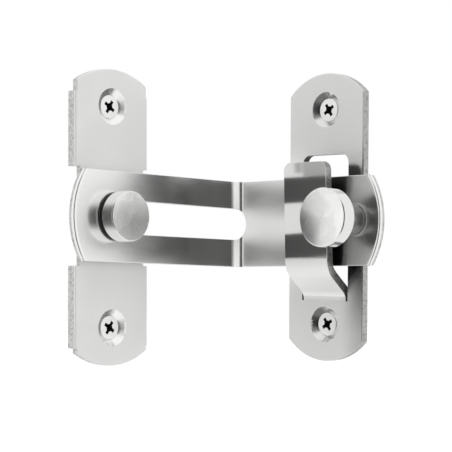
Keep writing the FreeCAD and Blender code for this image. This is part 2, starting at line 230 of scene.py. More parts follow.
class LATCH_PG_screw(PropertyGroup):
    """Sizes of the countersunk screws."""
    shank_radius: size_property("Thread radius", "Outer radius of the thread", 2.1)
    root_radius: size_property("Core radius", "Radius at the root of the thread", 1.45)
    pitch: size_property("Thread pitch", "Rise of the thread in one turn", 1.5)
    point: size_property("Point", "Length of the tapered point", 4.0)
    rim: size_property("Head rim", "Chamfer round the head's face", 0.22)
    recess_span: size_property("Recess span", "Width of the cross recess", 5.3)
    recess_wing: size_property("Recess wing", "Thickness of a wing of the recess", 1.3)
    recess_depth: size_property("Recess depth", "Depth of the cross recess", 2.3)
    stud_turn: angle_property("Stud plate turn", "Turn of the stud plate's screws", 57)
    keeper_turn: angle_property("Keeper plate turn", "Turn of the keeper plate's screws", 32)


class LATCH_PG_stage(PropertyGroup):
    """The studio round the latch."""
    floor_drop: size_property("Floor drop", "Height of the latch's origin over the floor", 250.0)
    floor_size: size_property("Floor size", "Width of the floor", 12000.0)
    floor_glow: light_property("Floor glow", "What lifts the floor to the tent's white for the eye", 0.35)
    sky: light_property("Studio light", "Strength of the white studio", 1.0)
    gap: light_property("Camera gap", "Strength of the gap where the camera stands", 0.05)
    gap_core: angle_property("Gap core", "Half of the gap's dark width", 9)
    gap_edge: angle_property("Gap edge", "Half of the gap's width out to plain white", 20)
    gap_top: angle_property("Gap height", "Elevation of the gap's ends", 45)


SETTINGS = (
    ("latch_finish", LATCH_PG_finish),
    ("latch_edges", LATCH_PG_edges),
    ("latch_stud", LATCH_PG_stud),
    ("latch_knob", LATCH_PG_knob),
    ("latch_screw", LATCH_PG_screw),
    ("latch_stage", LATCH_PG_stage),
)


# The setting of a Map Range node that eases in and out.
SMOOTH = {"interpolation_type": "SMOOTHSTEP"}


def add_node(tree, kind, settings=None, values=None, links=None):
    """A node with its settings, the values of its sockets and what feeds them."""
    node = tree.nodes.new(kind)
    for name, value in (settings or {}).items():
        setattr(node, name, value)
    for name, value in (values or {}).items():
        node.inputs[name].default_value = value
    for name, source in (links or {}).items():
        tree.links.new(source, node.inputs[name])
    return node


def new_material(name):
    """An empty node material and its tree."""
    material = bpy.data.materials.new(name)
    material.use_nodes = True
    material.node_tree.nodes.clear()
    return material, material.node_tree


def cloudy(tree, size, low, high, detail=3.0, noise_low=0.3, noise_high=0.7):
    """A value that drifts between two values over cloudy patches of one size, fixed to the piece."""
    place = add_node(tree, "ShaderNodeTexCoord")
    patches = add_node(tree, "ShaderNodeTexNoise", values={"Scale": 1 / size, "Detail": detail},
                       links={"Vector": place.outputs["Object"]})
    return add_node(tree, "ShaderNodeMapRange",
                    values={"From Min": noise_low, "From Max": noise_high, "To Min": low, "To Max": high},
                    links={"Value": patches.outputs["Fac"]}).outputs["Result"]


def grain(tree, size, strength, height=0.02 * MM):
    """Normals with a grain of one size and height. The real grain is finer than a pixel of the photograph,
    so it is drawn coarser."""
    place = add_node(tree, "ShaderNodeTexCoord")
    grains = add_node(tree, "ShaderNodeTexNoise", values={"Scale": 1 / size, "Detail": 2.0},
                      links={"Vector": place.outputs["Object"]})
    return add_node(tree, "ShaderNodeBump", values={"Strength": strength, "Distance": height},
                    links={"Height": grains.outputs["Fac"]}).outputs["Normal"]


def lean_normals(tree, lean):
    """The surface's normals, leaned over by a vector that a socket gives."""
    surface = add_node(tree, "ShaderNodeNewGeometry")
    leaning = add_node(tree, "ShaderNodeVectorMath", {"operation": "ADD"},
                       links={0: surface.outputs["Normal"], 1: lean})
    return add_node(tree, "ShaderNodeVectorMath", {"operation": "NORMALIZE"},
                    links={0: leaning.outputs["Vector"]}).outputs["Vector"]


def facing(tree, direction):
    """How closely the surface faces a direction of the latch, up to 1."""
    surface = add_node(tree, "ShaderNodeNewGeometry")
    return add_node(tree, "ShaderNodeVectorMath", {"operation": "DOT_PRODUCT"}, {1: direction},
                    {0: surface.outputs["Normal"]}).outputs["Value"]


def place_axes(tree):
    """The X, Y and Z of a point's place on the latch, as sockets."""
    place = add_node(tree, "ShaderNodeTexCoord")
    return add_node(tree, "ShaderNodeSeparateXYZ", links={"Vector": place.outputs["Object"]}).outputs


def solid(tree, values, links=None):
    """The shader of an opaque piece, shown by the material."""
    shader = add_node(tree, "ShaderNodeBsdfPrincipled", values=values, links=links)
    add_node(tree, "ShaderNodeOutputMaterial", links={"Surface": shader.outputs["BSDF"]})
    return shader


def metal(tree, colour, links, other=None, share=None):
    """A bare metal's shader. A share from a socket tints it towards another colour."""
    if other:
        tint = add_node(tree, "ShaderNodeMix", {"data_type": "RGBA"}, {6: colour, 7: linear(other)},
                        {"Factor": share})
        links = {"Base Color": tint.outputs[2], **links}
    return solid(tree, {"Base Color": colour, "Metallic": 1.0}, links)


def tumbled_sheet_steel(name, colour, roughness):
    """Cold-rolled stainless sheet, tumbled after punching: an even sheen with faint cloudy patches."""
    material, tree = new_material(name)
    metal(tree, colour, {"Roughness": cloudy(tree, 14 * MM, 0.9 * roughness, 1.1 * roughness),
                         "Normal": grain(tree, 0.4 * MM, 0.04)})
    return material


def rubbed_sheet_steel(name, colour, roughness, rubbed, right_side):
    """The keeper's tumbled sheet. The hasp rubs it brighter at the height where it swings, up to 15 mm from
    the latch's middle and fading out at 30 mm. Below the hasp, the strip along the sheet's right side is
    painted darker, a painted reflection of the hasp's back, and it fades downwards."""
    material, tree = new_material(name)
    axes = place_axes(tree)
    height = add_node(tree, "ShaderNodeMath", {"operation": "ABSOLUTE"}, links={0: axes["Z"]})
    # Polished where it is rubbed, and satin above and below.
    level = add_node(tree, "ShaderNodeMapRange", SMOOTH,
                     {"From Min": 15 * MM, "From Max": 30 * MM, "To Min": rubbed, "To Max": roughness},
                     {"Value": height.outputs["Value"]})
    # Each share is the most that the next one reaches, so the last one is their product.
    fade = add_node(tree, "ShaderNodeMapRange",
                    values={"From Min": -40 * MM, "From Max": -21 * MM, "To Min": 0.32, "To Max": 0.85},
                    links={"Value": axes["Z"]})
    below = add_node(tree, "ShaderNodeMapRange", values={"From Min": -12 * MM, "From Max": -16 * MM},
                     links={"Value": axes["Z"], "To Max": fade.outputs["Result"]})
    strip = add_node(tree, "ShaderNodeMapRange", SMOOTH,
                     {"From Min": right_side + 12 * MM, "From Max": right_side + 1 * MM},
                     {"Value": axes["Y"], "To Max": below.outputs["Result"]})
    # The strip below the hasp is painted darker by the last share: a painted reflection of the hasp's back.
    metal(tree, colour, {"Roughness": level.outputs["Result"], "Normal": grain(tree, 0.4 * MM, 0.04)},
          PAINTED_REFLECTION, strip.outputs["Result"])
    return material


def sheared_edge_steel(name, colour):
    """The edge that the punch leaves on stainless sheet: duller than the faces, torn and speckled."""
    material, tree = new_material(name)
    tears = cloudy(tree, 0.9 * MM, 0.0, 0.5, noise_low=0.42)
    metal(tree, colour, {"Roughness": cloudy(tree, 1.2 * MM, 0.26, 0.42),
                         "Normal": grain(tree, 0.7 * MM, 1.0, 0.08 * MM)}, "#5C5C5A", tears)
    return material


def buffed_steel(name, colour, roughness):
    """Stainless buffed on a cloth wheel: smooth, and a little cloudy."""
    material, tree = new_material(name)
    metal(tree, colour, {"Roughness": cloudy(tree, 3 * MM, 0.85 * roughness, 1.2 * roughness)})
    return material


def buffed_hook_steel(name, colour, roughness, foot, twist):
    """The hook: buffed to a near mirror, but dull on its foot, where the wheel doesn't reach. Its foot is
    also painted lighter, a painted highlight on the ramp. The twist leans its mirror image over, as on a
    tongue that was folded slightly askew."""
    material, tree = new_material(name)
    axes = place_axes(tree)
    on_foot = add_node(tree, "ShaderNodeMapRange", values={"From Min": -13.5 * MM, "From Max": -14.5 * MM},
                       links={"Value": axes["Z"]}).outputs["Result"]
    level = add_node(tree, "ShaderNodeMix", {"data_type": "FLOAT"}, {"A": roughness, "B": foot},
                     {"Factor": on_foot})
    lean = add_node(tree, "ShaderNodeCombineXYZ", values={"Y": twist})
    metal(tree, colour, {"Roughness": level.outputs["Result"],
                         "Normal": lean_normals(tree, lean.outputs["Vector"])}, "#FBFBFA", on_foot)
    return material


def strap_roughness(tree, roughness, worn, place, axes, across):
    """The strap's roughness: belt marks 9 mm long and 1 mm apart, drawn coarser than the real ones, and a
    worn place on the right arm, dullest 10 mm from the wall and gone at 38 mm."""
    along_strap = add_node(tree, "ShaderNodeMapping", values={"Scale": (1.0, 1.0, 9.0)},
                           links={"Vector": place})
    marks = add_node(tree, "ShaderNodeTexNoise", values={"Scale": 1 / (9 * MM), "Detail": 1.0},
                     links={"Vector": along_strap.outputs["Vector"]})
    along_arm = add_node(tree, "ShaderNodeMapRange",
                         values={"From Min": -38 * MM, "From Max": -10 * MM, "To Min": roughness,
                                 "To Max": worn}, links={"Value": axes["Y"]})
    level = add_node(tree, "ShaderNodeMapRange",
                     values={"From Min": ARM_START, "From Max": ARM_STOP, "To Min": roughness},
                     links={"Value": across, "To Max": along_arm.outputs["Result"]})
    streaks = add_node(tree, "ShaderNodeMapRange",
                       values={"From Min": 0.3, "From Max": 0.7, "To Min": 0.97, "To Max": 1.05},
                       links={"Value": marks.outputs["Fac"]})
    return add_node(tree, "ShaderNodeMath", {"operation": "MULTIPLY"},
                    links={0: level.outputs["Result"], 1: streaks.outputs["Result"]}).outputs["Value"]


def strap_lean(tree, axes, across):
    """The lean of the left arm's upper half, which the press pushed forward."""
    dish = add_node(tree, "ShaderNodeMapRange",
                    values={"From Max": 15 * MM, "To Max": -0.05}, links={"Value": axes["Z"]})
    off_arm = add_node(tree, "ShaderNodeMapRange", values={"From Min": ARM_STOP, "From Max": ARM_START},
                       links={"Value": across, "To Max": dish.outputs["Result"]})
    return add_node(tree, "ShaderNodeCombineXYZ", links={"Z": off_arm.outputs["Result"]}).outputs["Vector"]


def bend_normals(tree, across):
    """The normals inside the bend, where the press left a broad facet and a tight corner beside the right
    arm. Each turns the surface further round."""
    turns = [add_node(tree, "ShaderNodeMapRange", {"interpolation_type": kind},
                      {"From Min": start * MM, "From Max": stop * MM, "To Max": math.radians(turn)},
                      {"Value": across}).outputs["Result"]
             for kind, start, stop, turn in (("SMOOTHSTEP", 42.4, 43.8, 32), ("LINEAR", 45.0, 46.6, 21))]
    turn = add_node(tree, "ShaderNodeMath", {"operation": "ADD"}, links=dict(enumerate(turns)))
    sine, cosine = (add_node(tree, "ShaderNodeMath", {"operation": kind}, links={0: turn.outputs["Value"]})
                    for kind in ("SINE", "COSINE"))
    bent = add_node(tree, "ShaderNodeCombineXYZ", links={"X": sine.outputs["Value"],
                                                         "Y": cosine.outputs["Value"]})
    return add_node(tree, "ShaderNodeVectorMath", {"operation": "SCALE"}, {"Scale": -1.0},
                    {0: bent.outputs["Vector"]}).outputs["Vector"]


def inside_bend(tree, axes, across):
    """A share of 1 on the inside of the bend, in front of Y -6 mm and left of X 59 mm, and 0 elsewhere."""
    rows = ((axes["Y"], -5.8, -6.2), (axes["X"], 59.3, 58.9), (across, 42.4, 42.6), (across, 47.3, 46.5))
    links = {}
    for source, none, full in rows:
        share = add_node(tree, "ShaderNodeMapRange", values={"From Min": none * MM, "From Max": full * MM},
                         links={"Value": source, **links})
        links = {"To Max": share.outputs["Result"]}
    return share.outputs["Result"]


def painted_strap_shade(tree, axes, across):
    """How much the strap is painted darker: painted shade towards the bend on the left arm, and a painted
    reflection of the hook past it on the right.
    """
    towards_bend = add_node(tree, "ShaderNodeMapRange", SMOOTH,
                            {"From Min": 5 * MM, "From Max": 60 * MM, "To Max": 0.78}, {"Value": axes["X"]})
    left = add_node(tree, "ShaderNodeMapRange", values={"From Min": 43.2 * MM, "From Max": 42.4 * MM},
                    links={"Value": across, "To Max": towards_bend.outputs["Result"]})
    past_hook = add_node(tree, "ShaderNodeMapRange",
                         values={"From Min": -44 * MM, "From Max": -52 * MM, "To Max": 0.42},
                         links={"Value": axes["Y"]})
    right = add_node(tree, "ShaderNodeMapRange", values={"From Min": 0.9, "From Max": 0.97},
                     links={"Value": facing(tree, -X_AXIS), "To Max": past_hook.outputs["Result"]})
    return add_node(tree, "ShaderNodeMath", {"operation": "ADD"},
                    links={0: left.outputs["Result"], 1: right.outputs["Result"]}).outputs["Value"]


def linished_strap_steel(name, colour, roughness, worn):
    """Stainless strap polished on a fine belt: a soft mirror, streaked along the strap, that the press has
    leaned and folded."""
    material, tree = new_material(name)
    place = add_node(tree, "ShaderNodeTexCoord").outputs["Object"]
    axes = place_axes(tree)
    # The way across the bend is measured along the line that joins the two arms' ends.
    across = add_node(tree, "ShaderNodeVectorMath", {"operation": "DOT_PRODUCT"}, {1: ACROSS_BEND},
                      {0: place}).outputs["Value"]
    normal = add_node(tree, "ShaderNodeMix", {"data_type": "VECTOR"},
                      links={"Factor": inside_bend(tree, axes, across),
                             4: lean_normals(tree, strap_lean(tree, axes, across)),
                             5: bend_normals(tree, across)})
    # The strap's colour is painted darker in places: painted shade near the bend and a painted reflection
    # past the hook.
    metal(tree, colour, {"Roughness": strap_roughness(tree, roughness, worn, place, axes, across),
                         "Normal": normal.outputs[1]}, PAINTED_REFLECTION, painted_strap_shade(tree, axes, across))
    return material


def countersink_steel(name, colour, roughness, shaded):
    """A drilled countersink: bright turned steel, painted dark on the side that faces a given direction, as
    painted shade.
    """
    material, tree = new_material(name)
    # Painted shade: the cone is darker on the side that faces the given direction.
    cone_shade = add_node(tree, "ShaderNodeMapRange", SMOOTH,
                   {"From Min": 0.1, "From Max": 0.55, "To Max": 0.8}, {"Value": facing(tree, shaded)})
    metal(tree, colour, {"Roughness": cloudy(tree, 2 * MM, 0.8 * roughness, 1.3 * roughness)},
          "#242423", cone_shade.outputs["Result"])
    return material


def painted_reflection_wedge(tree, round_axis, axis, turn, shade):
    """A share that is highest in a wedge round an axis, at a turn from the top, and fades towards the
    centre:
    a painted reflection. It shows how closely a point's direction round the axis follows that of the wedge's
    middle."""
    middle = (Matrix.Rotation(turn, 3, axis) @ Z_AXIS).cross(axis)
    direction = add_node(tree, "ShaderNodeVectorMath", {"operation": "NORMALIZE"}, links={0: round_axis})
    close = add_node(tree, "ShaderNodeVectorMath", {"operation": "DOT_PRODUCT"}, {1: middle},
                     {0: direction.outputs["Vector"]})
    far = add_node(tree, "ShaderNodeVectorMath", {"operation": "LENGTH"}, links={0: round_axis})
    reach = add_node(tree, "ShaderNodeMapRange",
                     values={"From Min": 1 * MM, "From Max": 8 * MM, "To Min": 0.15 * shade,
                             "To Max": shade}, links={"Value": far.outputs["Value"]})
    return add_node(tree, "ShaderNodeMapRange", SMOOTH, {"From Min": 0.5},
                    {"Value": close.outputs["Value"], "To Max": reach.outputs["Result"]}).outputs["Result"]


def lathe_turned_steel(name, colour, centre, axis, wedge_turn, wedge_shade, mottle_shade):
    """Stainless bar faced on a lathe: rings round the axis stretch the light into wedges that meet at the
    centre. One darker wedge is painted into the colour, a painted reflection, with a random mottle."""
    material, tree = new_material(name)
    place = add_node(tree, "ShaderNodeTexCoord")
    from_centre = add_node(tree, "ShaderNodeVectorMath", {"operation": "SUBTRACT"},
                           {1: centre}, {0: place.outputs["Object"]})
    round_axis = add_node(tree, "ShaderNodeVectorMath", {"operation": "CROSS_PRODUCT"},
                          {1: axis}, {0: from_centre.outputs["Vector"]}).outputs["Vector"]
    tangent = add_node(tree, "ShaderNodeVectorTransform",
                       {"vector_type": "VECTOR", "convert_from": "OBJECT", "convert_to": "WORLD"},
                       links={"Vector": round_axis})
    mottle = cloudy(tree, 4 * MM, 0.0, mottle_shade, detail=4.0, noise_low=0.35, noise_high=0.65)
    # The painted reflection of the dark wedge, with the random mottle.
    shade = add_node(tree, "ShaderNodeMath", {"operation": "ADD"},
                     links={0: painted_reflection_wedge(tree, round_axis, axis, wedge_turn, wedge_shade), 1: mottle})
    shader = metal(tree, colour, {"Roughness": cloudy(tree, 4 * MM, 0.2, 0.3, detail=4.0),
                                  "Tangent": tangent.outputs["Vector"]}, PAINTED_REFLECTION,
                   shade.outputs["Value"])
    shader.inputs["Anisotropic"].default_value = 0.5
    return material


def headed_screw_steel(name, colour):
    """Cold-headed and tumbled stainless wire: bright, with a fine pebble."""
    material, tree = new_material(name)
    metal(tree, colour, {"Roughness": cloudy(tree, 0.8 * MM, 0.28, 0.34),
                         "Normal": grain(tree, 0.8 * MM, 0.03)})
    return material


def painted_shade_recess(name, colour):
    """A punched recess painted near black: painted shade, the dark cross that the eye sees."""
    material, tree = new_material(name)
    solid(tree, {"Base Color": colour, "Roughness": 0.6, "IOR": 1.47})
    return material


def moulded_nylon(name, colour):
    """Moulded black nylon: dull, with a soft grain."""
    material, tree = new_material(name)
    solid(tree, {"Base Color": colour, "IOR": 1.53},
          {"Roughness": cloudy(tree, 0.3 * MM, 0.6, 0.75, detail=2.0)})
    return material


def paint(piece, material, *others):
    """Gives a piece its material, and others, each with a test that picks its faces."""
    piece.data.materials.clear()
    piece.data.materials.append(material)
    for index, (other, picks) in enumerate(others, 1):
        piece.data.materials.append(other)
        for face in piece.data.polygons:
            if picks(face):
                face.material_index = index


def round_edges(piece, width, segments, wide=None, is_wide=None, slot=-1):
    """Rounds a piece's sharp edges, some of them wider, and keeps its flats flat. The rounds take the
    material of one slot, or of the faces beside them."""
    bevel = piece.modifiers.new("rounded_edges", "BEVEL")
    bevel.material = slot
    bevel.width = wide or width
    bevel.segments = segments
    bevel.limit_method = "WEIGHT"
    bevel.use_clamp_overlap = True
    bm = bmesh.new()
    bm.from_mesh(piece.data)
    weights = bm.edges.layers.float.new("bevel_weight_edge")
    for edge in bm.edges:
        if len(edge.link_faces) == 2 and edge.calc_face_angle() > SHARP_CORNER:
            broad = wide is None or is_wide(edge)
            edge[weights] = 1.0 if broad else width / wide
    bm.to_mesh(piece.data)
    bm.free()
    piece.data.shade_smooth()
    flats = piece.modifiers.new("flat_flats", "WEIGHTED_NORMAL")
    flats.mode = "FACE_AREA_WITH_ANGLE"
    flats.weight = 100


def piece_from(bm, name, nodes=(), body=None):
    """A finished piece from a bmesh. If it stands for CAD nodes, it moves with their body."""
    mesh = bpy.data.meshes.new(name)
    bm.to_mesh(mesh)
    bm.free()
    piece = bpy.data.objects.new(name, mesh)
    bpy.context.scene.collection.objects.link(piece)
    if nodes:
        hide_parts(*nodes)
        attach(piece, body)
    return piece


def joined_copy(node, name, body):
    """A CAD node's shape with its loose triangles joined into whole faces, where they lie within 0.3
    degrees of flat."""
    bm = bmesh.new()
    bm.from_mesh(frame["nodes"][node].data)
    bmesh.ops.remove_doubles(bm, verts=bm.verts, dist=0.002 * MM)
    bmesh.ops.dissolve_limit(bm, angle_limit=math.radians(0.3), verts=bm.verts, edges=bm.edges)
    return piece_from(bm, name, [node], body)


def lathe(bm, profile, steps):
    """Turns a profile of (radius, height) points about the bmesh's z axis."""
    verts = [bm.verts.new((radius, 0, height)) for radius, height in profile]
    edges = [bm.edges.new(pair) for pair in zip(verts, verts[1:])]
    bmesh.ops.spin(bm, geom=verts + edges, cent=ORIGIN, axis=Z_AXIS, angle=2 * math.pi, steps=steps,
                   use_merge=True)
    bmesh.ops.remove_doubles(bm, verts=bm.verts, dist=0.001 * MM)
    bmesh.ops.recalc_face_normals(bm, faces=bm.faces)


def quarter_fillet(radius, height, size, steps):
    """Points of a hollow quarter round from a shaft of this radius out to a face at this height."""
    turns = [math.pi / 2 * step / steps for step in range(steps + 1)]
    return [(radius + size * (1 - math.cos(turn)), height - size * (1 - math.sin(turn))) for turn in turns]


def along(axis, place):
    """Takes the bmesh's z axis to an axis of the latch, with its zero at a place."""
    turn = Z_AXIS.rotation_difference(axis).to_matrix().to_4x4()
    return Matrix.Translation(place) @ turn


def box_centre(node):
    """The middle of a CAD node's box."""
    low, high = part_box(node)
    return (Vector(low) + Vector(high)) / 2


def dress_stud_plate(finish, edges):
    """Finishes the stud plate, with its cut edges and its countersinks, which are painted darker on one side
    as painted shade.
    """
    plate = joined_copy("stud_plate", "stud_plate_sheet", "base")
    middle = box_centre("stud_plate_screws")
    sheared = sheared_edge_steel("stainless_edge_sheared", finish.edge)
    shaded_countersink = countersink_steel("stainless_countersink_thin", finish.sheet, finish.cone, (0.8, 0, -0.6))
    paint(plate, tumbled_sheet_steel("stainless_sheet_satin", finish.sheet, finish.satin),
          (sheared, lambda face: abs(face.normal.y) < CUT_EDGE),
          (shaded_countersink, lambda face: in_countersink(face, middle, face.normal.y)))
    round_edges(plate, edges.sheet, edges.segments)


def dress_keeper_plate(finish, edges):
    """Finishes the keeper plate, with its polished hook and its window. Inside the hook and on the window's
    walls the raw steel is painted near black, as painted shade.
    """
    keeper = joined_copy("keeper_plate", "keeper_plate_sheet", "base")
    low, high = (Vector(corner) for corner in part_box("keeper_plate"))
    front = high.x - KEEPER_SHEET
    middle = box_centre("keeper_plate_screws")
    polished = buffed_hook_steel("stainless_hook_buffed", finish.hook, finish.polish, finish.foot,
                                 HOOK_TWIST)
    # The keeper's cut edges are painted darker: painted shade.
    thick_edge_shaded = sheared_edge_steel("stainless_edge_sheared_thick_shaded", finish.keeper_edge_shaded)
    shaded_countersink = countersink_steel("stainless_countersink_thick", finish.keeper_sheet, finish.cone,
                              (0, -0.8, -0.6))
    # The inside of the hook and the window's walls are painted near black: painted shade.
    raw_and_shaded = buffed_steel("stainless_mill_painted_shade", finish.raw_and_shaded, finish.mill)
    painted_highlight_edge = tumbled_sheet_steel("stainless_edge_painted_highlight", finish.turned, finish.keeper)
    paint(keeper, rubbed_sheet_steel("stainless_sheet_tumbled", finish.keeper_sheet, finish.keeper,
                                     finish.rubbed, low.y),
          (polished, lambda face: face.center.x < front - HOOK_FACES),
          (thick_edge_shaded, is_keeper_edge),
          (shaded_countersink, lambda face: in_countersink(face, middle, face.normal.x)),
          (raw_and_shaded, lambda face: is_shaded_hollow(face, low, high, front)),
          (painted_highlight_edge, lambda face: False))
    # The last material is for the rounded edges alone: they are painted lighter than the sheet, a painted
    # highlight.
    round_edges(keeper, edges.sheet, edges.segments, edges.hook,
                lambda edge: all(vert.co.x < front - HOOK_EDGES for vert in edge.verts), 5)


class LATCH_OT_plates(Operator):
    """Finish the stud plate and the keeper plate as tumbled stainless sheet"""
    bl_idname = "latch.plates"
    bl_label = "Plates"

    def execute(self, context):
        scene = context.scene
        dress_stud_plate(scene.latch_finish, scene.latch_edges)
        dress_keeper_plate(scene.latch_finish, scene.latch_edges)
        return {"FINISHED"}


def is_keeper_edge(face):
    """Whether a face of the keeper is a cut edge, of the plate or of the hook."""
    along_x = abs(face.normal.x)
    hook_side = abs(face.normal.y) > 0.5
    return along_x < WALL or (along_x < CUT_EDGE and hook_side)


def is_shaded_hollow(face, low, high, front):
    """Whether a face of the keeper lies inside its hook or is a wall of its window."""
    spot = face.center
    inside_hook = spot.x < front - HOOK_FACES and face.normal.x > ASIDE
    wall = abs(face.normal.x) < WALL and spot.x > front - HOOK_EDGES
    in_window = low.y + WINDOW_INSET < spot.y < high.y - WINDOW_INSET and abs(spot.z) < WINDOW_RISE
    return inside_hook or (wall and in_window)


def in_countersink(face, middle, slant):
    """Whether a face of a plate belongs to the cone round one of its two screws."""
    across = face.center - middle
    height = abs(across.z) - SCREW_RISE
    across.z = 0
    near = abs(height) < COUNTERSINK_REACH and across.length < 2 * COUNTERSINK_REACH
    return near and CUT_EDGE < abs(slant) < FLAT


def is_strap_edge(face, low):
    """Whether a face of the hasp is a cut edge: its left arm faces Y and its right arm faces X."""
    x, y, z = (abs(share) for share in face.normal)
    left_end = face.center.x < low[0] + LEFT_ARCH
    right_end = face.center.y < low[1] + RIGHT_ARCH
    return z > ASIDE or (left_end and y < ASIDE) or (right_end and x < ASIDE)


def is_end_edge(edge, low, high):
    """Whether an edge of the hasp lies on the front of one of its arched ends."""
    off_back = 2 * MM
    left = all(vert.co.x < low[0] + FRONT_ARCH and vert.co.y < high[1] - off_back for vert in edge.verts)
    right = all(vert.co.y < low[1] + FRONT_ARCH and vert.co.x < high[0] - off_back for vert in edge.verts)
    level = all(abs(face.normal.z) < FLAT for face in edge.link_faces)
    return (left or right) and level


class LATCH_OT_hasp(Operator):
    """Finish the hasp as linished stainless strap"""
    bl_idname = "latch.hasp"
    bl_label = "Hasp"

    def execute(self, context):
        finish = context.scene.latch_finish
        edges = context.scene.latch_edges
        hasp = joined_copy("hasp", "hasp_strap", "hasp")
        low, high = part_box("hasp")
        paint(hasp, linished_strap_steel("stainless_strap_linished", finish.strap, finish.belt, finish.worn),
              (bpy.data.materials["stainless_edge_sheared"], lambda face: is_strap_edge(face, low)))
        round_edges(hasp, edges.strap, edges.segments, edges.strap_end,
                    lambda edge: is_end_edge(edge, low, high), 0)
        return {"FINISHED"}


class LATCH_OT_washer(Operator):
    """Finish the washer as black nylon"""
    bl_idname = "latch.washer"
    bl_label = "Washer"

    def execute(self, context):
        scene = context.scene
        washer = joined_copy("stud_washer", "washer_nylon", "pivot")
        paint(washer, moulded_nylon("nylon_black_moulded", scene.latch_finish.nylon))
        round_edges(washer, 0.5 * scene.latch_edges.turned, 2)
        return {"FINISHED"}


class LATCH_OT_stud(Operator):
    """Turn the headed stud from stainless bar"""
    bl_idname = "latch.stud"
    bl_label = "Stud"

    def execute(self, context):
        scene = context.scene
        s = scene.latch_stud
        low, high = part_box("stud")
        radius = (high[0] - low[0]) / 2
        top = s.neck + s.head
        end = -s.tenon - s.tail
        bm = bmesh.new()
        lathe(bm, [(0, top), (radius - s.chamfer, top), (radius, top - s.chamfer),
                   (radius, s.neck + s.chamfer / 3), (radius - s.chamfer / 3, s.neck),
                   (s.neck_radius, s.neck), (s.neck_radius, 0), (s.tenon_radius, 0),
                   (s.tenon_radius, -s.tenon), (s.tail_radius, -s.tenon),
                   (s.tail_radius, end + s.chamfer), (s.tail_radius - s.chamfer, end), (0, end)],
              TURNED_STEPS)
        place = Vector((0, low[1] + top, 0))
        bm.transform(along(-Y_AXIS, place))
        stud = piece_from(bm, "stud_turned", ["stud"], "base")
        finish = scene.latch_finish
        paint(stud, lathe_turned_steel("stainless_turned_stud", finish.turned, place, Y_AXIS,
                                       wedge_turn=math.radians(140), wedge_shade=0.08, mottle_shade=0.14),
              (buffed_steel("stainless_turned_side", finish.side, finish.rim),
               lambda face: abs(face.normal.y) < TURNED_FLAT))
        round_edges(stud, scene.latch_edges.turned, scene.latch_edges.segments)
        return {"FINISHED"}


class LATCH_OT_knob(Operator):
    """Turn the knob from stainless bar, with its collar and its riveted tail"""
    bl_idname = "latch.knob"
    bl_label = "Knob"

    def execute(self, context):
        scene = context.scene
        k = scene.latch_knob
        low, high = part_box("knob")
        radius = (high[1] - low[1]) / 2
        under = k.height - k.head
        bm = bmesh.new()
        profile = [(0, k.height - k.dimple_depth), (k.dimple_radius, k.height),
                   (radius - k.chamfer, k.height), (radius, k.height - k.chamfer),
                   (radius, under + k.chamfer), (radius - k.chamfer, under)]
        profile += reversed(quarter_fillet(k.stem_radius, under, k.stem_fillet, 5))
        profile += [(k.stem_radius, k.collar), (k.collar_radius - k.chamfer / 2, k.collar),
                    (k.collar_radius, k.collar - k.chamfer / 2), (k.collar_radius, 0), (k.tenon_radius, 0),
                    (k.tenon_radius, k.flare - k.sheet), (k.tenon_radius + k.flare, -k.sheet), (0, -k.sheet)]
        lathe(bm, profile, TURNED_STEPS)
        droop = Matrix.Rotation(hasp_droop(), 4, "Y")
        bm.transform(droop @ along(-X_AXIS, Vector((k.arm, (low[1] + high[1]) / 2, k.rise))))
        knob = piece_from(bm, "knob_turned", ["knob"], "hasp")
        finish = scene.latch_finish
        side = bpy.data.materials["stainless_turned_side"]
        stem = low[0] + k.head
        paint(knob, lathe_turned_steel("stainless_turned_knob", finish.turned, box_centre("knob"),
                                       droop.to_3x3() @ X_AXIS, wedge_turn=math.radians(-122),
                                       wedge_shade=0.6, mottle_shade=0.04),
              (side, lambda face: abs(face.normal.x) < TURNED_FLAT),
              # The stem is painted darker: painted shade under the knob's head.
              (buffed_steel("stainless_turned_stem", finish.stem, finish.dull),
               lambda face: face.center.x > stem))
        round_edges(knob, scene.latch_edges.turned, scene.latch_edges.segments)
        return {"FINISHED"}


def hasp_droop():
    """How far the hasp hangs down, from the direction in which it slides."""
    slide = [joint for joint in frame["joints"] if joint["name"] == "hasp_slide"][0]
    return math.atan2(-slide["axis"][2], slide["axis"][0])


def screw_points(node, axis):
    """Where the two screws of a node stand: the middle of each head's face."""
    low, high = (Vector(corner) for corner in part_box(node))
    half = (high - low) / 2
    across = X_AXIS + Y_AXIS - axis
    face = (low + high) / 2 - axis * half.dot(axis)
    up = Z_AXIS * (half.z - HEAD_RADIUS)
    lean = across * max(half.dot(across) - HEAD_RADIUS, 0)
    return {"upper": face + up - lean, "lower": face - up + lean}


def cross_recess(s):
    """A cutter for the cross recess: two crossed wings that narrow with depth, and a core. It stands a
    little over the head."""
    bm = bmesh.new()
    over = 0.5 * MM
    foot_span, foot_wing = 0.42, 0.6
    core_foot, core_mouth = 0.14 * s.recess_span, 0.27 * s.recess_span
    for turn in (0.0, math.pi / 2):
        wing = bmesh.ops.create_cube(bm, size=1.0)["verts"]
        bmesh.ops.scale(bm, vec=(s.recess_span, s.recess_wing, s.recess_depth + over), verts=wing)
        bmesh.ops.translate(bm, vec=(0, 0, (over - s.recess_depth) / 2), verts=wing)
        foot = [vert for vert in wing if vert.co.z < -s.recess_depth / 2]
        bmesh.ops.scale(bm, vec=(foot_span, foot_wing, 1.0), verts=foot)
        bmesh.ops.rotate(bm, cent=ORIGIN, matrix=Matrix.Rotation(turn, 3, "Z"), verts=wing)
    core = bmesh.ops.create_cone(bm, cap_ends=True, segments=24, radius1=core_foot, radius2=core_mouth,
                                 depth=s.recess_depth + over)["verts"]
    bmesh.ops.translate(bm, vec=(0, 0, (over - s.recess_depth) / 2), verts=core)
    return bm


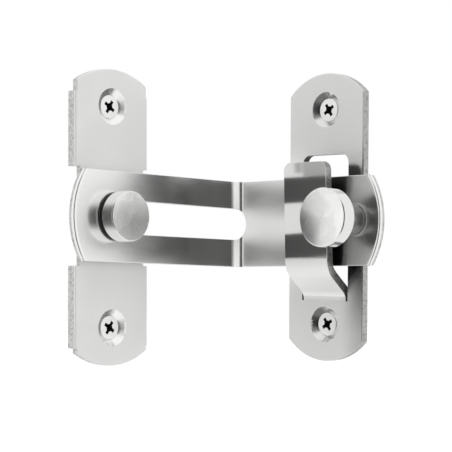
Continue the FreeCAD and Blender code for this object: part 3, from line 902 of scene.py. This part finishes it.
def screw_blank(s, length):
    """The head and the core of the screw, with its face at zero and its point down the z axis."""
    bm = bmesh.new()
    neck = s.shank_radius - HEAD_RADIUS
    neck_end = neck - 0.6 * MM
    core_start = neck - 1.1 * MM
    tip_radius = 0.1 * MM
    lathe(bm, [(0, 0), (HEAD_RADIUS - s.rim, 0), (HEAD_RADIUS, -s.rim), (s.shank_radius, neck),
               (s.shank_radius, neck_end), (s.root_radius, core_start),
               (s.root_radius, s.point - length), (tip_radius, -length), (0, -length)], 96)
    return bm


def screw_thread(bm, s, length):
    """Winds the thread: a ridge swept down the core, thinning away along the point."""
    steps_in_turn = 28
    start = s.shank_radius - HEAD_RADIUS - 1.0 * MM
    turns = (start + length) / s.pitch - 0.3
    steps = int(turns * steps_in_turn)
    half = 0.28 * s.pitch
    crest = 0.04 * half
    inner = 0.9 * s.root_radius
    ridge = [bm.verts.new((radius, 0, start + height)) for radius, height in (
        (inner, half), (s.shank_radius, crest), (s.shank_radius, -crest), (inner, -half))]
    section = bm.faces.new(ridge)
    before = set(bm.verts) - set(ridge)
    bmesh.ops.spin(bm, geom=[section] + list(section.edges) + ridge, cent=ORIGIN, axis=Z_AXIS,
                   dvec=(0, 0, -s.pitch * turns / steps), angle=2 * math.pi * turns, steps=steps)
    for vert in set(bm.verts) - before:
        width = max(0.0, min(1.0, (vert.co.z + length) / s.point))
        vert.co.x *= width
        vert.co.y *= width
    wound = [face for face in bm.faces if any(vert not in before for vert in face.verts)]
    bmesh.ops.recalc_face_normals(bm, faces=wound)


def cut_recess(bm, s):
    """Cuts the cross recess out of the blank's face and returns the result as a bmesh."""
    blank = piece_from(bm, "screw_blank")
    cutter = piece_from(cross_recess(s), "recess_cutter")
    cut = blank.modifiers.new("recess", "BOOLEAN")
    cut.operation = "DIFFERENCE"
    cut.solver = "EXACT"
    cut.use_self = True
    cut.object = cutter
    depsgraph = bpy.context.evaluated_depsgraph_get()
    result = bmesh.new()
    result.from_mesh(blank.evaluated_get(depsgraph).to_mesh())
    for scrap in (blank, cutter):
        bpy.data.objects.remove(scrap)
    return result


def in_recess(face, place, axis, floor):
    """Whether a face of a screw belongs to its cross recess."""
    spot = face.center - place
    return 1e-6 < spot.dot(axis) < floor and face.normal.dot(spot) < 0


def on_rim(face, place, axis, rim):
    """Whether a face of a screw belongs to the chamfer round its head."""
    return (face.center - place).dot(axis) < rim and ASIDE < -face.normal.dot(axis) < TURNED_FLAT


class LATCH_OT_screws(Operator):
    """Make the four countersunk screws with their threads and cross recesses"""
    bl_idname = "latch.screws"
    bl_label = "Screws"

    def execute(self, context):
        s = context.scene.latch_screw
        finish = context.scene.latch_finish
        steel = headed_screw_steel("stainless_screw_tumbled", finish.screw)
        recess_shade = painted_shade_recess("painted_shade_in_recess", finish.recess)
        rim = buffed_steel("stainless_screw_rim", finish.edge, finish.dull)
        floor = s.recess_depth + 0.1 * MM
        rows = (("stud_plate_screws", Y_AXIS, s.stud_turn), ("keeper_plate_screws", X_AXIS, s.keeper_turn))
        for node, axis, turn in rows:
            low, high = (Vector(corner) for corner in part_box(node))
            length = (high - low).dot(axis)
            blank = cut_recess(screw_blank(s, length), s)
            screw_thread(blank, s, length)
            for level, place in screw_points(node, axis).items():
                bm = blank.copy()
                bm.transform(along(-axis, place) @ Matrix.Rotation(turn, 4, "Z"))
                screw = piece_from(bm, node[:-1] + "_" + level, [node], "base")
                paint(screw, steel, (recess_shade, lambda face: in_recess(face, place, axis, floor)),
                      (rim, lambda face: on_rim(face, place, axis, s.rim)))
                screw.data.shade_smooth()
                screw.data.set_sharp_from_angle(angle=math.radians(35))
            blank.free()
        return {"FINISHED"}


def show(tree, output, seen, unseen):
    """Shows one shader to the camera and lights the latch with another."""
    path = add_node(tree, "ShaderNodeLightPath")
    mix = add_node(tree, "ShaderNodeMixShader",
                   links={0: path.outputs["Is Camera Ray"], 1: unseen, 2: seen})
    add_node(tree, output, links={"Surface": mix.outputs["Shader"]})


def studio_world(stage):
    """A white tent with a dark gap where the camera looks in. The eye sees plain white."""
    world = bpy.data.worlds.new("white_tent")
    world.use_nodes = True
    tree = world.node_tree
    tree.nodes.clear()
    place = add_node(tree, "ShaderNodeTexCoord")
    # The gap is a tall slit: a share of 1 in its core, 0 past its edges, its ends and behind the latch.
    # Its ends fade out over 0.7 to 1.3 of its height.
    rows = ((CAMERA_RIGHT, math.sin(stage.gap_edge), math.sin(stage.gap_core)),
            (Z_AXIS, math.sin(1.3 * stage.gap_top), math.sin(0.7 * stage.gap_top)),
            (CAMERA_BACK, 0.0, 0.3))
    links = {}
    for axis, none, full in rows:
        along_axis = add_node(tree, "ShaderNodeVectorMath", {"operation": "DOT_PRODUCT"}, {1: axis},
                              {0: place.outputs["Generated"]})
        distance = along_axis.outputs["Value"]
        if none > full:
            distance = add_node(tree, "ShaderNodeMath", {"operation": "ABSOLUTE"},
                                links={0: distance}).outputs["Value"]
        share = add_node(tree, "ShaderNodeMapRange", SMOOTH,
                         {"From Min": none, "From Max": full}, {"Value": distance, **links})
        links = {"To Max": share.outputs["Result"]}
    dark = add_node(tree, "ShaderNodeMapRange", values={"To Min": stage.sky, "To Max": stage.gap},
                    links={"Value": share.outputs["Result"]})
    studio = add_node(tree, "ShaderNodeBackground", values={"Color": linear("#FFFFFF")},
                      links={"Strength": dark.outputs["Result"]})
    white = add_node(tree, "ShaderNodeBackground", values={"Color": linear("#FFFFFF"), "Strength": 1.0})
    show(tree, "ShaderNodeOutputWorld", white.outputs["Background"], studio.outputs["Background"])
    bpy.context.scene.world = world


def matt_white_floor(stage):
    """White paper under a white studio: it keeps a soft shadow and has no edge."""
    bm = bmesh.new()
    bmesh.ops.create_grid(bm, x_segments=1, y_segments=1, size=stage.floor_size / 2,
                          matrix=Matrix.Translation((0, 0, -stage.floor_drop)))
    floor = piece_from(bm, "floor")
    material, tree = new_material("paper_white")
    paper = add_node(tree, "ShaderNodeBsdfDiffuse", values={"Color": linear("#E6E6E6")}).outputs["BSDF"]
    glow = add_node(tree, "ShaderNodeEmission", values={"Strength": stage.floor_glow})
    lit = add_node(tree, "ShaderNodeAddShader", links={0: paper, 1: glow.outputs["Emission"]})
    show(tree, "ShaderNodeOutputMaterial", lit.outputs["Shader"], paper)
    paint(floor, material)
    # The steel mirrors the tent all round, down to its white foot.
    floor.visible_glossy = False


def photo_camera():
    """The camera at the photograph's place, with its long lens."""
    lens = bpy.data.cameras.new("photo_camera")
    lens.sensor_width = 36.0
    lens.lens = CAMERA_FOCAL_PIXELS / PHOTO_WIDTH * lens.sensor_width
    lens.clip_start = 10 * MM
    lens.clip_end = 50.0
    camera = bpy.data.objects.new("photo_camera", lens)
    bpy.context.scene.collection.objects.link(camera)
    back = CAMERA_BACK * math.cos(CAMERA_ELEVATION) + Z_AXIS * math.sin(CAMERA_ELEVATION)
    level = Matrix((CAMERA_RIGHT, back.cross(CAMERA_RIGHT), back)).transposed()
    roll = Matrix.Rotation(CAMERA_ROLL, 3, "Z")
    camera.matrix_world = Matrix.Translation(CAMERA_PLACE) @ (level @ roll).to_4x4()
    bpy.context.scene.camera = camera


class LATCH_OT_stage(Operator):
    """Set up the floor, the studio light and the camera"""
    bl_idname = "latch.stage"
    bl_label = "Stage"

    def execute(self, context):
        stage = context.scene.latch_stage
        matt_white_floor(stage)
        studio_world(stage)
        photo_camera()
        context.scene.view_settings.view_transform = "Standard"
        return {"FINISHED"}


STEPS = (LATCH_OT_plates, LATCH_OT_hasp, LATCH_OT_washer, LATCH_OT_stud, LATCH_OT_knob, LATCH_OT_screws,
         LATCH_OT_stage)


class LATCH_PT_panel(Panel):
    """The latch's settings and steps"""
    bl_idname = "LATCH_PT_panel"
    bl_label = "Sliding latch"
    bl_space_type = "VIEW_3D"
    bl_region_type = "UI"
    bl_category = "Latch"

    def draw(self, context):
        for name, group in SETTINGS:
            settings = getattr(context.scene, name)
            column = self.layout.box().column()
            for prop in group.__annotations__:
                column.prop(settings, prop)
        for step in STEPS:
            self.layout.operator(step.bl_idname)


CLASSES = tuple(group for name, group in SETTINGS) + STEPS + (LATCH_PT_panel,)


def register():
    """Makes the settings and the steps known to Blender."""
    for cls in CLASSES:
        bpy.utils.register_class(cls)
    for name, group in SETTINGS:
        setattr(bpy.types.Scene, name, PointerProperty(type=group))


def unregister():
    """Takes the settings and the steps away again."""
    for name, group in SETTINGS:
        delattr(bpy.types.Scene, name)
    for cls in reversed(CLASSES):
        bpy.utils.unregister_class(cls)


def main():
    """Dresses the latch step by step."""
    register()
    bpy.ops.latch.plates()
    bpy.ops.latch.hasp()
    bpy.ops.latch.washer()
    bpy.ops.latch.stud()
    bpy.ops.latch.knob()
    bpy.ops.latch.screws()
    bpy.ops.latch.stage()


if __name__ == "__main__":
    main()
